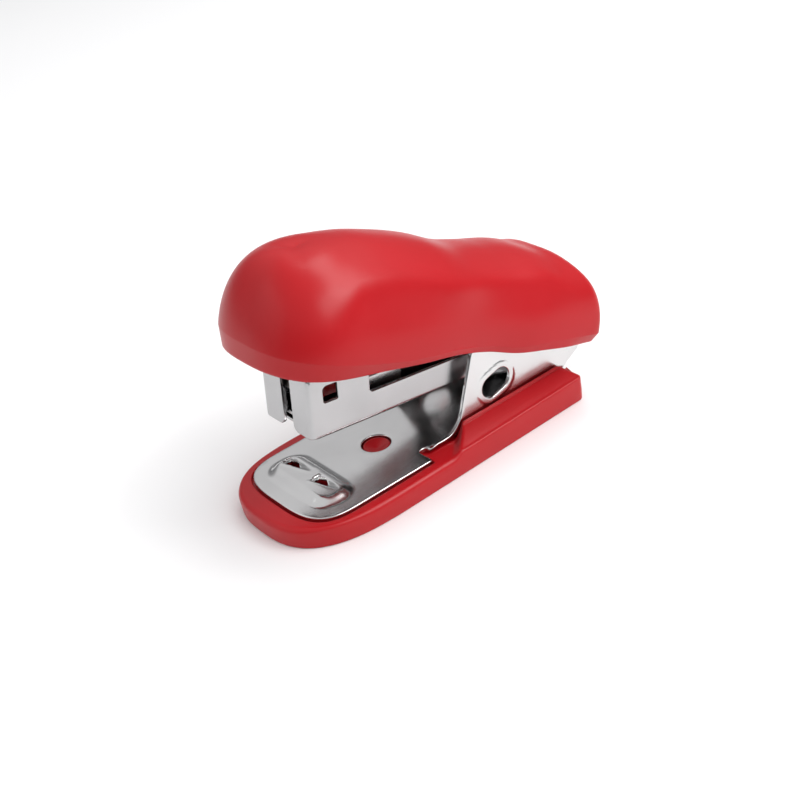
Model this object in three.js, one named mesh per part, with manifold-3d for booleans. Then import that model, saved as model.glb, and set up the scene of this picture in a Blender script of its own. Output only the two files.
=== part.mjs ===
// Mini stapler, modelled open at rest. Millimetres, +Z up, nose towards -Y, hinge at the rear.
// The origin is the centre of the footprint box, on the surface that the base stands on.
import * as THREE from "three";
import { mergeVertices } from "three/addons/utils/BufferGeometryUtils.js";
import Module from "manifold-3d";

const wasm = await Module();
wasm.setup();

// ---------------------------------------------------------------- driving dimensions
const GAP = 0.3;                   // clearance between neighbouring pieces
const NOSE_Y = -33.8;              // front of the base
const BASE_REAR_Y = 27.8;          // rear of the base
const BASE_HALF = 14.7;            // half width of the base at its widest
const BASE_REAR_HALF = 14.0;       // half width of the base at its rear
const BASE_REAR_CORNER = 1.6;      // size of the cut corners at the rear
const NOSE_START_Y = -14;          // where the base sides start to round into the nose
const NOSE_POWER = 2.8;            // squareness of the round nose
const RIM_TOP = 3.9;               // top of the red rim around the plate
const DECK_TOP = 3.2;              // floor of the pocket that holds the plate
const RAIL_INNER = 9.75;           // inner wall of the raised side rails
const RAIL_RIDGE = 10.2;           // where the rail is highest
const RAIL_TOP = 6.4;
const RAIL_OUTER_TOP = 4.15;       // rail height at the outer edge of the base
const RAIL_FRONT = { inner: 3.6, outer: -2.4 };   // ends of the rail's askew front
const UNDERSIDE_DEPTH = 1.7;       // hollow under the base
const BASE_WALL = 1.6;
const RIBS = { y: [-18, 0, 16], half: 12.8, thick: 1.2, foot: 0.3 };

const SHEET = 0.8;                 // thickness of the anvil plate
const PLATE_BOTTOM = 3.5;
const PLATE_TOP = PLATE_BOTTOM + SHEET;
const PLATE_HALF = 11.9;
const PLATE_FRONT_Y = -29.7;
const PLATE_ROUND_Y = -20;         // where the plate's sides start to round into its nose
const PLATE_ROUND_POWER = 3.4;
const PLATE_STEP_Y = -5.7;         // the plate narrows here, in front of the ears
const PLATE_REAR_Y = 27.2;
const EAR_OUTER = 9.4;
const EAR_FRONT_Y = -3.7;
const EAR_SLOT = { y: 11.7, z: 9.8, half: 1.2, radius: 2.0, tilt: 0.26, collar: 1.1, proud: 0.25 };
const PAD = { half: 9.4, front: -26.9, rear: -18.5, step: 4.65, top: 5.4, slope: 1.3, corner: 3.4 };
const GROOVE = { length: 6.2, width: 1.9, depth: 1.3, offset: 4.2, y: -21.9, turn: 0.13 };
const STUD = { y: -8.6, hole: 2.6, radius: 2.2, top: 3.95, dimple: 1.6 };

const LIFT_SPRING = { half: 2.2, thick: 0.35 };
const LIFT_RIVET = { y: 24, hole: 1.2, shank: 0.9, head: 1.9, headTop: 1.5 };

const PIVOT = new THREE.Vector3(0, 25.2, 12.7);
const PIN_RADIUS = 1.2;
const PIN_HOLE = 1.5;
const PIN_HEAD = { radius: 2.1, inner: 9.7, outer: 10.3 };
const WASHER = { radius: 2.5, inner: 7.1, outer: 8.3 };
const COVER_SPRING = { coil: 2.1, wire: 0.3, turns: 5, half: 2.6 };
const MAGAZINE_OPEN = THREE.MathUtils.degToRad(7.5);    // lift of the magazine at rest
const COVER_OPEN = THREE.MathUtils.degToRad(11.0);      // lift of the cover above the magazine

// Magazine sizes, in its own level frame with the pivot at the origin.
const MAG = {
  half: 6.8, wall: 0.7, bottom: -3.7, front: -49.3, rear: 3.2, low: 1.3, tall: 7.1, step: -37.4,
};
const MAG_FLOOR = MAG.bottom + MAG.wall;
const SLOT_HALF = 1.4;                 // half width of the slot between the front flanges
const THROAT_REAR = MAG.front + 1.9;   // front edge of the magazine floor
const WINDOW = { y: MAG.front + 4.2, z: 3.9, side: 2.8 };
const RAIL = {
  half: 4.1, wall: 0.6, top: 1.75, front: MAG.front + 2.3, rear: -7.0, slotFront: -38.4, slotRear: -11.5,
};
const STAPLE = {
  inner: 4.3, outer: 4.75, crown: 2.05, top: 2.5, pitch: 0.5, count: 18, front: MAG.front + 2.1,
};
const PUSHER = { front: -37.8, rear: -29.6, top: 2.8, bottom: -0.7 };
const ROD = { radius: 0.6, z: -0.45, front: MAG.front + 2.8, rear: -7.8 };
const PUSHER_SPRING = { coil: 1.15, wire: 0.2, turns: 11, rear: -11.4 };
const RAIL_RIVETS_Y = [MAG.front + 5, -9.6];

// Driver sizes, in the cover's level frame with the pivot at the origin.
const BLADE = { half: 4.4, front: MAG.front + 1.25, thick: 0.45, tip: -5.9, top: 8.2 };
const DRIVER = {
  belly: 3.0, half: 5.2, wall: 0.6, low: 3.0, frontTop: 8.7, front: BLADE.front + 0.75, rearTop: 4.0, lug: 2.4,
};
const BLADE_RIVET = { x: 2.4, z: 6.4, radius: 0.7, head: 1.25 };
const COVER_WALL = 1.6;

const RED = 0xc81e28;
const BRIGHT = 0xd8d8d6;
const SATIN = 0xc4c2bc;
const SPRING_GREY = 0x9a9a98;
const DARK_STEEL = 0x5c5a58;
const BLACK = 0x1c1c1e;

// ---------------------------------------------------------------- helpers
function toSolid(geometry) {
  const bare = geometry.index ? geometry.toNonIndexed() : geometry.clone();
  bare.deleteAttribute("normal");
  bare.deleteAttribute("uv");
  const merged = mergeVertices(bare, 1e-5);
  return new wasm.Manifold(new wasm.Mesh({
    numProp: 3,
    vertProperties: new Float32Array(merged.attributes.position.array),
    triVerts: new Uint32Array(merged.index.array),
  }));
}

function toGeometry(solid) {
  const mesh = solid.getMesh();
  const geometry = new THREE.BufferGeometry();
  geometry.setAttribute("position", new THREE.BufferAttribute(new Float32Array(mesh.vertProperties), 3));
  geometry.setIndex(new THREE.BufferAttribute(new Uint32Array(mesh.triVerts), 1));
  geometry.computeVertexNormals();
  return geometry;
}

const cut = (solid, ...tools) => tools.reduce((left, tool) => left.subtract(tool), solid);
const join = (solid, ...others) => others.reduce((left, other) => left.add(other), solid);

// A box between two corners.
function block(x0, x1, y0, y1, z0, z1) {
  const geometry = new THREE.BoxGeometry(x1 - x0, y1 - y0, z1 - z0);
  geometry.translate((x0 + x1) / 2, (y0 + y1) / 2, (z0 + z1) / 2);
  return toSolid(geometry);
}

// A plan outline raised from one height to another.
function raised(shape, z0, z1, steps = 8) {
  const geometry = new THREE.ExtrudeGeometry(shape, {
    depth: z1 - z0, bevelEnabled: false, curveSegments: steps,
  });
  geometry.translate(0, 0, z0);
  return toSolid(geometry);
}

// A side outline in (y, z), drawn across the width from x0 to x1.
function across(shape, x0, x1, steps = 8) {
  const geometry = new THREE.ExtrudeGeometry(shape, {
    depth: x1 - x0, bevelEnabled: false, curveSegments: steps,
  });
  const toSide = new THREE.Matrix4().makeBasis(
    new THREE.Vector3(0, 1, 0), new THREE.Vector3(0, 0, 1), new THREE.Vector3(1, 0, 0));
  geometry.applyMatrix4(toSide);
  geometry.translate(x0, 0, 0);
  return toSolid(geometry);
}

// A round bar across the width, centred on (y, z).
function bar(radius, x0, x1, y = 0, z = 0, sides = 28) {
  const geometry = new THREE.CylinderGeometry(radius, radius, x1 - x0, sides);
  geometry.rotateZ(Math.PI / 2);
  geometry.translate((x0 + x1) / 2, y, z);
  return toSolid(geometry);
}

// A round bar along the length, centred on (x, z).
function lengthwise(radius, y0, y1, x = 0, z = 0, sides = 20) {
  const geometry = new THREE.CylinderGeometry(radius, radius, y1 - y0, sides);
  geometry.translate(x, (y0 + y1) / 2, z);
  return toSolid(geometry);
}

// An upright round bar, or a cone where the two radii differ.
function upright(bottomRadius, topRadius, z0, z1, x, y, sides = 32) {
  const geometry = new THREE.CylinderGeometry(topRadius, bottomRadius, z1 - z0, sides);
  geometry.rotateX(Math.PI / 2);
  geometry.translate(x, y, (z0 + z1) / 2);
  return toSolid(geometry);
}

function polygon(points) {
  return new THREE.Shape(points.map(([a, b]) => new THREE.Vector2(a, b)));
}

// Quarter of a squared-off ellipse, from the side round to the nose.
function squaredArc(half, depth, power, steps) {
  const points = [];
  for (let i = 0; i <= steps; i += 1) {
    const angle = (i / steps) * Math.PI / 2;
    points.push([half * Math.cos(angle) ** (2 / power), depth * Math.sin(angle) ** (2 / power)]);
  }
  return points;
}

function part(name, solidOrGeometry, colour, roughness, metalness) {
  const geometry = solidOrGeometry.isBufferGeometry ? solidOrGeometry : toGeometry(solidOrGeometry);
  const material = new THREE.MeshStandardMaterial({ color: colour, roughness, metalness });
  const mesh = new THREE.Mesh(geometry, material);
  mesh.name = name;
  return mesh;
}

const redPlastic = (name, solid) => part(name, solid, RED, 0.32, 0);
const blackPlastic = (name, solid) => part(name, solid, BLACK, 0.5, 0);
const brightSteel = (name, solid) => part(name, solid, BRIGHT, 0.14, 1);
const satinSteel = (name, solid) => part(name, solid, SATIN, 0.32, 1);
const springSteel = (name, solid) => part(name, solid, SPRING_GREY, 0.28, 1);
const darkSteel = (name, solid) => part(name, solid, DARK_STEEL, 0.4, 1);
const mirrorX = (solid) => solid.mirror([1, 0, 0]);

// ---------------------------------------------------------------- base
function baseOutline(inset) {
  const arc = squaredArc(BASE_HALF - inset, NOSE_START_Y - NOSE_Y - inset, NOSE_POWER, 14);
  const right = arc.map(([x, d]) => [x, NOSE_START_Y - d]);
  const left = right.slice(0, -1).reverse().map(([x, y]) => [-x, y]);
  const corner = BASE_REAR_CORNER;
  const rearHalf = BASE_REAR_HALF - inset;
  const rear = BASE_REAR_Y - inset;
  const rearRight = [[rearHalf - corner, rear], [rearHalf, rear - corner]];
  const rearLeft = [[-rearHalf, rear - corner], [corner - rearHalf, rear]];
  return polygon([...rearRight, ...right, ...left, ...rearLeft]);
}

// One raised rail: its top slopes from the inner ridge down to the outer edge, and its front is cut askew.
function baseRail() {
  const foot = DECK_TOP - 0.5;
  const section = polygon([
    [RAIL_INNER, foot], [BASE_HALF + 1, foot], [BASE_HALF + 1, RAIL_OUTER_TOP],
    [RAIL_RIDGE, RAIL_TOP], [RAIL_INNER, RAIL_TOP - 0.15],
  ]);
  const geometry = new THREE.ExtrudeGeometry(section, { depth: BASE_REAR_Y + 6, bevelEnabled: false });
  geometry.rotateX(Math.PI / 2);
  geometry.translate(0, BASE_REAR_Y, 0);
  const wide = { inner: RAIL_INNER - 1, outer: BASE_HALF + 2, rear: BASE_REAR_Y + 10, top: RAIL_TOP + 1 };
  const front = polygon([
    [wide.inner, RAIL_FRONT.inner], [wide.outer, RAIL_FRONT.outer],
    [wide.outer, wide.rear], [wide.inner, wide.rear],
  ]);
  const ramp = across(polygon([
    [-4.5, foot], [-4.5, RIM_TOP - 0.1], [0, wide.top], [wide.rear, wide.top], [wide.rear, foot],
  ]), wide.inner, wide.outer);
  return toSolid(geometry).intersect(raised(front, 0, wide.top)).intersect(ramp);
}

function baseHousing() {
  const tallest = RAIL_TOP + 2;
  const body = raised(baseOutline(0), 0, RIM_TOP);
  const rail = baseRail().intersect(raised(baseOutline(0), 0, tallest));
  const pocket = raised(plateOutline(0.35), DECK_TOP, tallest);
  const rearPocket = block(-RAIL_INNER, RAIL_INNER, PLATE_STEP_Y - 0.5, BASE_REAR_Y + 1, DECK_TOP, tallest);
  const hollow = raised(baseOutline(BASE_WALL), -1, UNDERSIDE_DEPTH);
  const ribs = RIBS.y.map((y) =>
    block(-RIBS.half, RIBS.half, y - RIBS.thick / 2, y + RIBS.thick / 2, RIBS.foot, UNDERSIDE_DEPTH + 0.1));
  const stud = cut(
    upright(STUD.radius, STUD.radius, DECK_TOP - 0.2, STUD.top, 0, STUD.y),
    upright(0.2, STUD.dimple, DECK_TOP + 0.05, STUD.top + 0.01, 0, STUD.y));
  const shell = cut(join(body, rail, mirrorX(rail)), pocket, rearPocket, hollow);
  return redPlastic("base_housing", join(shell, ...ribs, stud));
}

function plateOutline(grow) {
  const half = PLATE_HALF + grow;
  const arc = squaredArc(half, PLATE_ROUND_Y - PLATE_FRONT_Y + grow, PLATE_ROUND_POWER, 10);
  const right = arc.map(([x, d]) => [x, PLATE_ROUND_Y - d]);
  const left = right.slice(0, -1).reverse().map(([x, y]) => [-x, y]);
  const rear = PLATE_STEP_Y + grow;
  return polygon([[half, rear], ...right, ...left, [-half, rear]]);
}

function earOutline() {
  const shape = new THREE.Shape();
  shape.moveTo(EAR_FRONT_Y, PLATE_BOTTOM);
  shape.lineTo(EAR_FRONT_Y, PLATE_TOP);
  shape.quadraticCurveTo(2.6, PLATE_TOP + 0.2, 4.5, 9.9);
  shape.lineTo(7.4, 17.3);
  shape.quadraticCurveTo(7.9, 18.6, 9.4, 18.4);
  shape.quadraticCurveTo(14, 17.6, 21.4, 15.7);
  shape.quadraticCurveTo(28.2, 15.4, 31.0, 13.6);
  shape.lineTo(32.0, 12.2);
  shape.lineTo(32.2, 9.4);
  shape.lineTo(32.4, 6.8);
  shape.lineTo(28.7, 5.7);
  shape.lineTo(PLATE_REAR_Y, PLATE_BOTTOM);
  return shape;
}

function earSlot(grow) {
  const reach = EAR_SLOT.half;
  const slot = new THREE.Shape();
  slot.absarc(reach, 0, EAR_SLOT.radius + grow, -Math.PI / 2, Math.PI / 2, false);
  slot.absarc(-reach, 0, EAR_SLOT.radius + grow, Math.PI / 2, Math.PI * 1.5, false);
  const turned = slot.getPoints(9).map((p) => p.rotateAround(new THREE.Vector2(0, 0), EAR_SLOT.tilt));
  return polygon(turned.map((p) => [p.x + EAR_SLOT.y, p.y + EAR_SLOT.z]));
}

// The pad that turns the staple legs: two rounded steps with a groove under each leg.
function anvilPad() {
  const outline = (inset) => {
    const corner = PAD.corner - inset * 0.5;
    const x = PAD.half - inset;
    const [y0, y1] = [PAD.front + inset, PAD.rear - inset];
    const shape = new THREE.Shape();
    shape.absarc(x - corner, y0 + corner, corner, -Math.PI / 2, 0, false);
    shape.absarc(x - corner, y1 - corner, corner, 0, Math.PI / 2, false);
    shape.absarc(corner - x, y1 - corner, corner, Math.PI / 2, Math.PI, false);
    shape.absarc(corner - x, y0 + corner, corner, Math.PI, Math.PI * 1.5, false);
    return shape;
  };
  const foot = PLATE_TOP - 0.2;
  const lower = raised(outline(PAD.slope / 2), foot, PAD.step + 0.3, 5);
  const upper = raised(outline(PAD.slope), foot, PAD.top, 5);
  const skirt = raised(outline(0.2), foot, PAD.step, 5);
  const grooves = [-1, 1].map((side) => {
    const geometry = new THREE.SphereGeometry(0.5, 14, 8);
    geometry.scale(GROOVE.length, GROOVE.width, GROOVE.depth);
    geometry.rotateZ(GROOVE.turn);
    geometry.translate(side * GROOVE.offset, GROOVE.y, PAD.top + 0.05);
    return toSolid(geometry);
  });
  return cut(join(skirt, lower, upper), ...grooves);
}

function anvilPlate() {
  const front = raised(plateOutline(0), PLATE_BOTTOM, PLATE_TOP);
  const bed = block(-EAR_OUTER, EAR_OUTER, PLATE_STEP_Y, PLATE_REAR_Y, PLATE_BOTTOM, PLATE_TOP);
  const holeForPin = bar(PIN_HOLE, -PLATE_HALF, PLATE_HALF, PIVOT.y, PIVOT.z);
  const relief = block(
    EAR_OUTER - 0.5, PLATE_HALF + 1, PLATE_STEP_Y - 0.05, EAR_FRONT_Y, PLATE_BOTTOM - 1, PLATE_TOP + 1);
  const studHole = upright(STUD.hole, STUD.hole, 0, PAD.top, 0, STUD.y);
  const collar = across(earSlot(EAR_SLOT.collar), EAR_OUTER - 0.2, EAR_OUTER + EAR_SLOT.proud);
  const wall = across(earOutline(), EAR_OUTER - SHEET, EAR_OUTER);
  const ear = cut(join(wall, collar), across(earSlot(0), 0, PLATE_HALF));
  const rivetHole = upright(LIFT_RIVET.hole, LIFT_RIVET.hole, 0, PAD.top, 0, LIFT_RIVET.y, 20);
  const plate = join(front, bed, ear, mirrorX(ear), anvilPad());
  return brightSteel("anvil_plate",
    cut(plate, holeForPin, relief, mirrorX(relief), studHole, rivetHole));
}

// Leaf spring that lifts the magazine: fixed at the rear, rising forwards.
function liftSpring() {
  const top = PLATE_TOP + GAP;
  const path = [
    [26.2, top], [22.4, top], [19.5, top + 0.6], [13, top + 2.9], [8.4, top + 5.4], [6.6, top + 5.5],
    [5.4, top + 4.9],
  ];
  const back = path.slice().reverse().map(([y, z]) => [y, z + LIFT_SPRING.thick]);
  const leaf = across(polygon([...path, ...back]), -LIFT_SPRING.half, LIFT_SPRING.half);
  const hole = upright(LIFT_RIVET.hole, LIFT_RIVET.hole, 0, 12, 0, LIFT_RIVET.y, 20);
  return springSteel("lift_spring", cut(leaf, hole));
}

function liftSpringRivet() {
  const { y, shank, head, headTop } = LIFT_RIVET;
  const seat = PLATE_TOP + 2 * GAP + LIFT_SPRING.thick;
  const low = upright(shank, shank, DECK_TOP + 0.05, seat + 0.05, 0, y, 20);
  return satinSteel("lift_spring_rivet", join(low, upright(head, headTop, seat, seat + 0.55, 0, y, 20)));
}

function hingePin() {
  const shaft = bar(PIN_RADIUS, -PIN_HEAD.outer + 0.2, PIN_HEAD.inner + 0.2, PIVOT.y, PIVOT.z);
  const head = bar(PIN_HEAD.radius, PIN_HEAD.inner, PIN_HEAD.outer, PIVOT.y, PIVOT.z);
  return satinSteel("hinge_pin", join(shaft, head));
}

function hingePinCollar() {
  const ring = cut(
    bar(PIN_HEAD.radius, -PIN_HEAD.outer, -PIN_HEAD.inner, PIVOT.y, PIVOT.z),
    bar(PIN_RADIUS + 0.15, -12, 0, PIVOT.y, PIVOT.z));
  return satinSteel("hinge_pin_collar", ring);
}

function pivotWasher(side) {
  const ring = cut(bar(WASHER.radius, WASHER.inner, WASHER.outer), bar(PIN_HOLE, 6, 9));
  return blackPlastic(side < 0 ? "pivot_washer_left" : "pivot_washer_right", side < 0 ? mirrorX(ring) : ring);
}

// ---------------------------------------------------------------- magazine
function magazineSide() {
  const shape = new THREE.Shape();
  const { bottom, front, rear, low, tall, step } = MAG;
  shape.moveTo(front, bottom);
  shape.lineTo(rear - 2, bottom);
  shape.quadraticCurveTo(rear, bottom, rear, bottom + 2);
  shape.lineTo(rear, low + 0.2);
  shape.quadraticCurveTo(rear, low + 1.2, rear - 1.2, low + 1.2);
  shape.lineTo(-3.2, low + 1.2);
  shape.lineTo(-5, low);
  shape.lineTo(step + 0.5, low);
  shape.quadraticCurveTo(step, low, step, low + 0.6);
  shape.lineTo(step, tall - 0.8);
  shape.quadraticCurveTo(step, tall, step - 0.8, tall);
  shape.lineTo(front, tall);
  return shape;
}

function magazineChannel() {
  const { half, wall, front, tall, bottom } = MAG;
  const outer = across(magazineSide(), -half, half, 5);
  const inside = block(wall - half, half - wall, front + wall, MAG.rear + 1, MAG_FLOOR, tall + 1);
  const slot = block(-SLOT_HALF, SLOT_HALF, front - 1, front + wall + 0.1, bottom - 1, tall + 1);
  const throat = block(-4.9, 4.9, front + wall, THROAT_REAR, bottom - 1, MAG_FLOOR + 1);
  const window = block(-half - 1, half + 1, WINDOW.y - WINDOW.side / 2, WINDOW.y + WINDOW.side / 2,
    WINDOW.z - WINDOW.side / 2, WINDOW.z + WINDOW.side / 2);
  const relief = [-1, 1].map((s) => {
    const x = s * (half - 0.3);
    return block(Math.min(x, x + s), Math.max(x, x + s), front - 1, front + 0.5, bottom - 1, bottom + 1.1);
  });
  const rivets = RAIL_RIVETS_Y.map((y) => upright(0.9, 0.9, bottom - 1, MAG_FLOOR + 1, 0, y, 16));
  return satinSteel("magazine_channel",
    cut(outer, inside, slot, throat, window, ...relief, ...rivets, bar(PIN_HOLE, -8, 8)));
}

function stapleRail() {
  const { half, wall, top, front, rear } = RAIL;
  const bottom = MAG_FLOOR + GAP;
  const body = block(-half, half, front, rear, bottom, top);
  const inside = block(wall - half, half - wall, front - 1, rear + 1, bottom + wall, top - wall);
  const endSlots = block(-1.5, 1.5, RAIL.slotFront, RAIL.slotRear, top - wall - 0.1, top + 1);
  const pockets = RAIL_RIVETS_Y.map((y) => upright(0.9, 0.9, bottom - 1, bottom + 2, 0, y, 16));
  const rodEnds = [[front, front + 1.2], [rear - 1.2, rear]].map(([y0, y1]) =>
    cut(block(-2.2, 2.2, y0, y1, bottom + wall - 0.1, top - wall + 0.1),
      lengthwise(ROD.radius + 0.25, y0 - 1, y1 + 1, 0, ROD.z)));
  return satinSteel("staple_rail", join(cut(body, inside, endSlots, ...pockets), ...rodEnds));
}

function railRivet(name, y) {
  const shank = upright(0.6, 0.6, MAG.bottom - 0.35, MAG_FLOOR + GAP + 0.85, 0, y, 16);
  const foot = upright(1.1, 1.4, MAG.bottom - 0.75, MAG.bottom - 0.3, 0, y, 16);
  const head = upright(1.2, 0.9, MAG_FLOOR + GAP + 0.9, MAG_FLOOR + GAP + 1.15, 0, y, 16);
  const link = upright(0.6, 0.6, MAG_FLOOR + GAP + 0.8, MAG_FLOOR + GAP + 1.0, 0, y, 16);
  return satinSteel(name, join(shank, foot, link, head));
}

// A stick of staples glued side by side, with a shallow groove between each two.
function stapleStrip() {
  const { inner, outer, crown, top, pitch, count, front } = STAPLE;
  const bottom = MAG_FLOOR + GAP;
  const length = pitch * count;
  const body = cut(
    block(-outer, outer, front, front + length, bottom, top),
    block(-inner, inner, front - 1, front + length + 1, bottom - 1, crown));
  const grooves = [];
  for (let i = 1; i < count; i += 1) {
    const y = front + i * pitch;
    grooves.push(block(-outer - 1, outer + 1, y - 0.04, y + 0.04, top - 0.08, top + 1));
  }
  return satinSteel("staple_strip", cut(body, ...grooves));
}

function staplePusher() {
  const { front, rear, top, bottom } = PUSHER;
  const body = cut(
    block(-STAPLE.outer, STAPLE.outer, front, rear, bottom, top),
    block(-RAIL.half - 0.25, RAIL.half + 0.25, front - 1, rear + 1, bottom - 1, RAIL.top + 0.35));
  const foot = cut(
    block(-1.1, 1.1, front + 2, rear - 1, ROD.z - 1.1, RAIL.top + 0.5),
    lengthwise(ROD.radius + 0.2, front, rear, 0, ROD.z));
  return brightSteel("staple_pusher", join(body, foot));
}

function pusherRod() {
  return satinSteel("pusher_rod", lengthwise(ROD.radius, ROD.front, ROD.rear, 0, ROD.z, 16));
}

class Helix extends THREE.Curve {
  constructor(radius, turns, start, end) {
    super();
    Object.assign(this, { radius, turns, start, end });
  }

  getPoint(t, target = new THREE.Vector3()) {
    const angle = t * this.turns * Math.PI * 2;
    const along = this.start + (this.end - this.start) * t;
    return target.set(this.radius * Math.cos(angle), this.radius * Math.sin(angle), along);
  }
}

function coil(radius, wire, turns, start, end, sides, stepsPerTurn) {
  const section = new THREE.Shape();
  section.absarc(0, 0, wire, 0, Math.PI * 2, false);
  return new THREE.ExtrudeGeometry(section, {
    steps: turns * stepsPerTurn, curveSegments: sides, extrudePath: new Helix(radius, turns, start, end),
  });
}

function pusherSpring() {
  const { coil: radius, wire, turns, rear } = PUSHER_SPRING;
  const geometry = coil(radius, wire, turns, PUSHER.rear + 0.6, rear, 3, 10);
  geometry.rotateX(-Math.PI / 2);
  geometry.translate(0, 0, ROD.z);
  return springSteel("pusher_spring", toSolid(geometry));
}

function coverSpring() {
  const { coil: radius, wire, turns, half } = COVER_SPRING;
  const geometry = coil(radius, wire, turns, -half, half, 3, 12);
  geometry.rotateY(Math.PI / 2);
  return springSteel("cover_spring", toSolid(geometry));
}

// ---------------------------------------------------------------- cover
function driverSide(inset) {
  const { low, front, frontTop, rearTop, lug } = DRIVER;
  const shape = new THREE.Shape();
  shape.moveTo(front + inset, low - inset * 2);
  shape.lineTo(-12, low - inset * 2);
  shape.lineTo(-2, -lug - inset);
  shape.quadraticCurveTo(0, -lug - 0.4 - inset, 1.8, -1.6);
  shape.quadraticCurveTo(lug + 0.4, 0, lug - inset, rearTop - 1 - inset);
  shape.lineTo(0, rearTop - inset);
  shape.lineTo(-10, 7.6 - inset);
  shape.lineTo(front + inset, frontTop - inset);
  return shape;
}

// Holes for the two rivets that join the blade to the driver frame.
function bladeRivetHoles() {
  return [-1, 1].map((side) => lengthwise(
    BLADE_RIVET.radius + 0.25, BLADE.front - 1, DRIVER.front + 1, side * BLADE_RIVET.x, BLADE_RIVET.z, 16));
}

function driverFrame() {
  const { half, wall } = DRIVER;
  const outer = across(driverSide(0), -half, half, 5);
  const inside = across(driverSide(wall), wall - half, half - wall, 5);
  const belly = block(wall - half, half - wall, DRIVER.front + wall, 6, -6, DRIVER.belly);
  return satinSteel("driver_frame", cut(outer, inside, belly, bar(PIN_HOLE, -8, 8), ...bladeRivetHoles()));
}

function driverBlade() {
  const body = block(-BLADE.half, BLADE.half, BLADE.front, BLADE.front + BLADE.thick, BLADE.tip, BLADE.top);
  return darkSteel("driver_blade", cut(body, ...bladeRivetHoles()));
}

function bladeRivet(name, side) {
  const x = side * BLADE_RIVET.x;
  const shank = lengthwise(BLADE_RIVET.radius, BLADE.front - 0.05, DRIVER.front + 1.1, x, BLADE_RIVET.z, 16);
  const head = lengthwise(BLADE_RIVET.head, DRIVER.front + 0.9, DRIVER.front + 1.45, x, BLADE_RIVET.z, 16);
  return satinSteel(name, join(shank, head));
}

// Cover form, in the cover's level frame. Each function gives a size at a place along the length.
const COVER = {
  front: -57.8, rear: 7.6, half: 15.0, noseCentre: -43.5, tailCentre: 2.7, nosePower: 2.66, tailPower: 8,
  tailTopPower: 3.4, skirt: 0.16, acrossPower: 2.3, risePower: 2.0, tailSquareness: 0.64,
};
// The ridge reaches part of the way into the nose and the tail, and is level at both ends.
const RIDGE = { noseReach: 0.43, noseEase: 1.6, bendFrom: -12, tailEnd: -0.3, tailReach: 0.15, tailEase: 3.0 };
const STATIONS = { first: -54, pitch: 7 };
const RIDGE_HEIGHTS = [14.4, 18.2, 19.1, 18.7, 17.7, 16.0, 15.4, 15.0, 13.4];
const EDGE_HEIGHTS = [-0.15, 0.3, 0.8, 1.1, 1.4, 0.9, -0.2, -0.35, -0.5];
const ARCH = { half: 10.8, top: 7.0 };   // opening in the rear wall that clears the ears

const smooth = (a, b, t) => THREE.MathUtils.smoothstep(t, a, b);
const bump = (centre, width, t) => Math.exp(-(((t - centre) / width) ** 2));

// A fair line through heights at even stations, read at a place along the length.
function fairLine(heights) {
  const points = heights.map((z, i) => new THREE.Vector2(STATIONS.first + i * STATIONS.pitch, z));
  const line = new THREE.SplineCurve(points);
  const length = STATIONS.pitch * (heights.length - 1);
  return (y) => line.getPoint(THREE.MathUtils.clamp((y - STATIONS.first) / length, 0, 1)).y;
}

const coverTop = fairLine(RIDGE_HEIGHTS);
const coverEdge = fairLine(EDGE_HEIGHTS);
const coverHalf = (y) => COVER.half + 0.4 * bump(-40, 13, y) - 0.7 * bump(-17, 9, y);
const coverWidest = (y) => coverEdge(y) + 1.0 + 2.2 * (1 - smooth(-56, -34, y));
const coverTuck = (y) => 0.25 + 0.75 * (1 - smooth(-50, -30, y)) + 0.35 * smooth(-6, 4, y);

// Height of the ridge at a place along it.
function crown(y) {
  const front = COVER.noseCentre + (COVER.front - COVER.noseCentre) * RIDGE.noseReach;
  const rear = RIDGE.tailEnd + (COVER.rear - COVER.tailCentre) * RIDGE.tailReach;
  if (y < front + RIDGE.noseEase) {
    return coverTop(front + RIDGE.noseEase / 2 + Math.max(0, y - front) ** 2 / (2 * RIDGE.noseEase));
  }
  if (y > rear - RIDGE.tailEase) {
    return coverTop(rear - RIDGE.tailEase / 2 - Math.max(0, rear - y) ** 2 / (2 * RIDGE.tailEase));
  }
  return coverTop(y);
}

// A sine or cosine bent towards a squarer form; it ends exactly at zero.
const squared = (t, power) => (t < 1e-9 ? 0 : t ** (2 / power));

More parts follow.
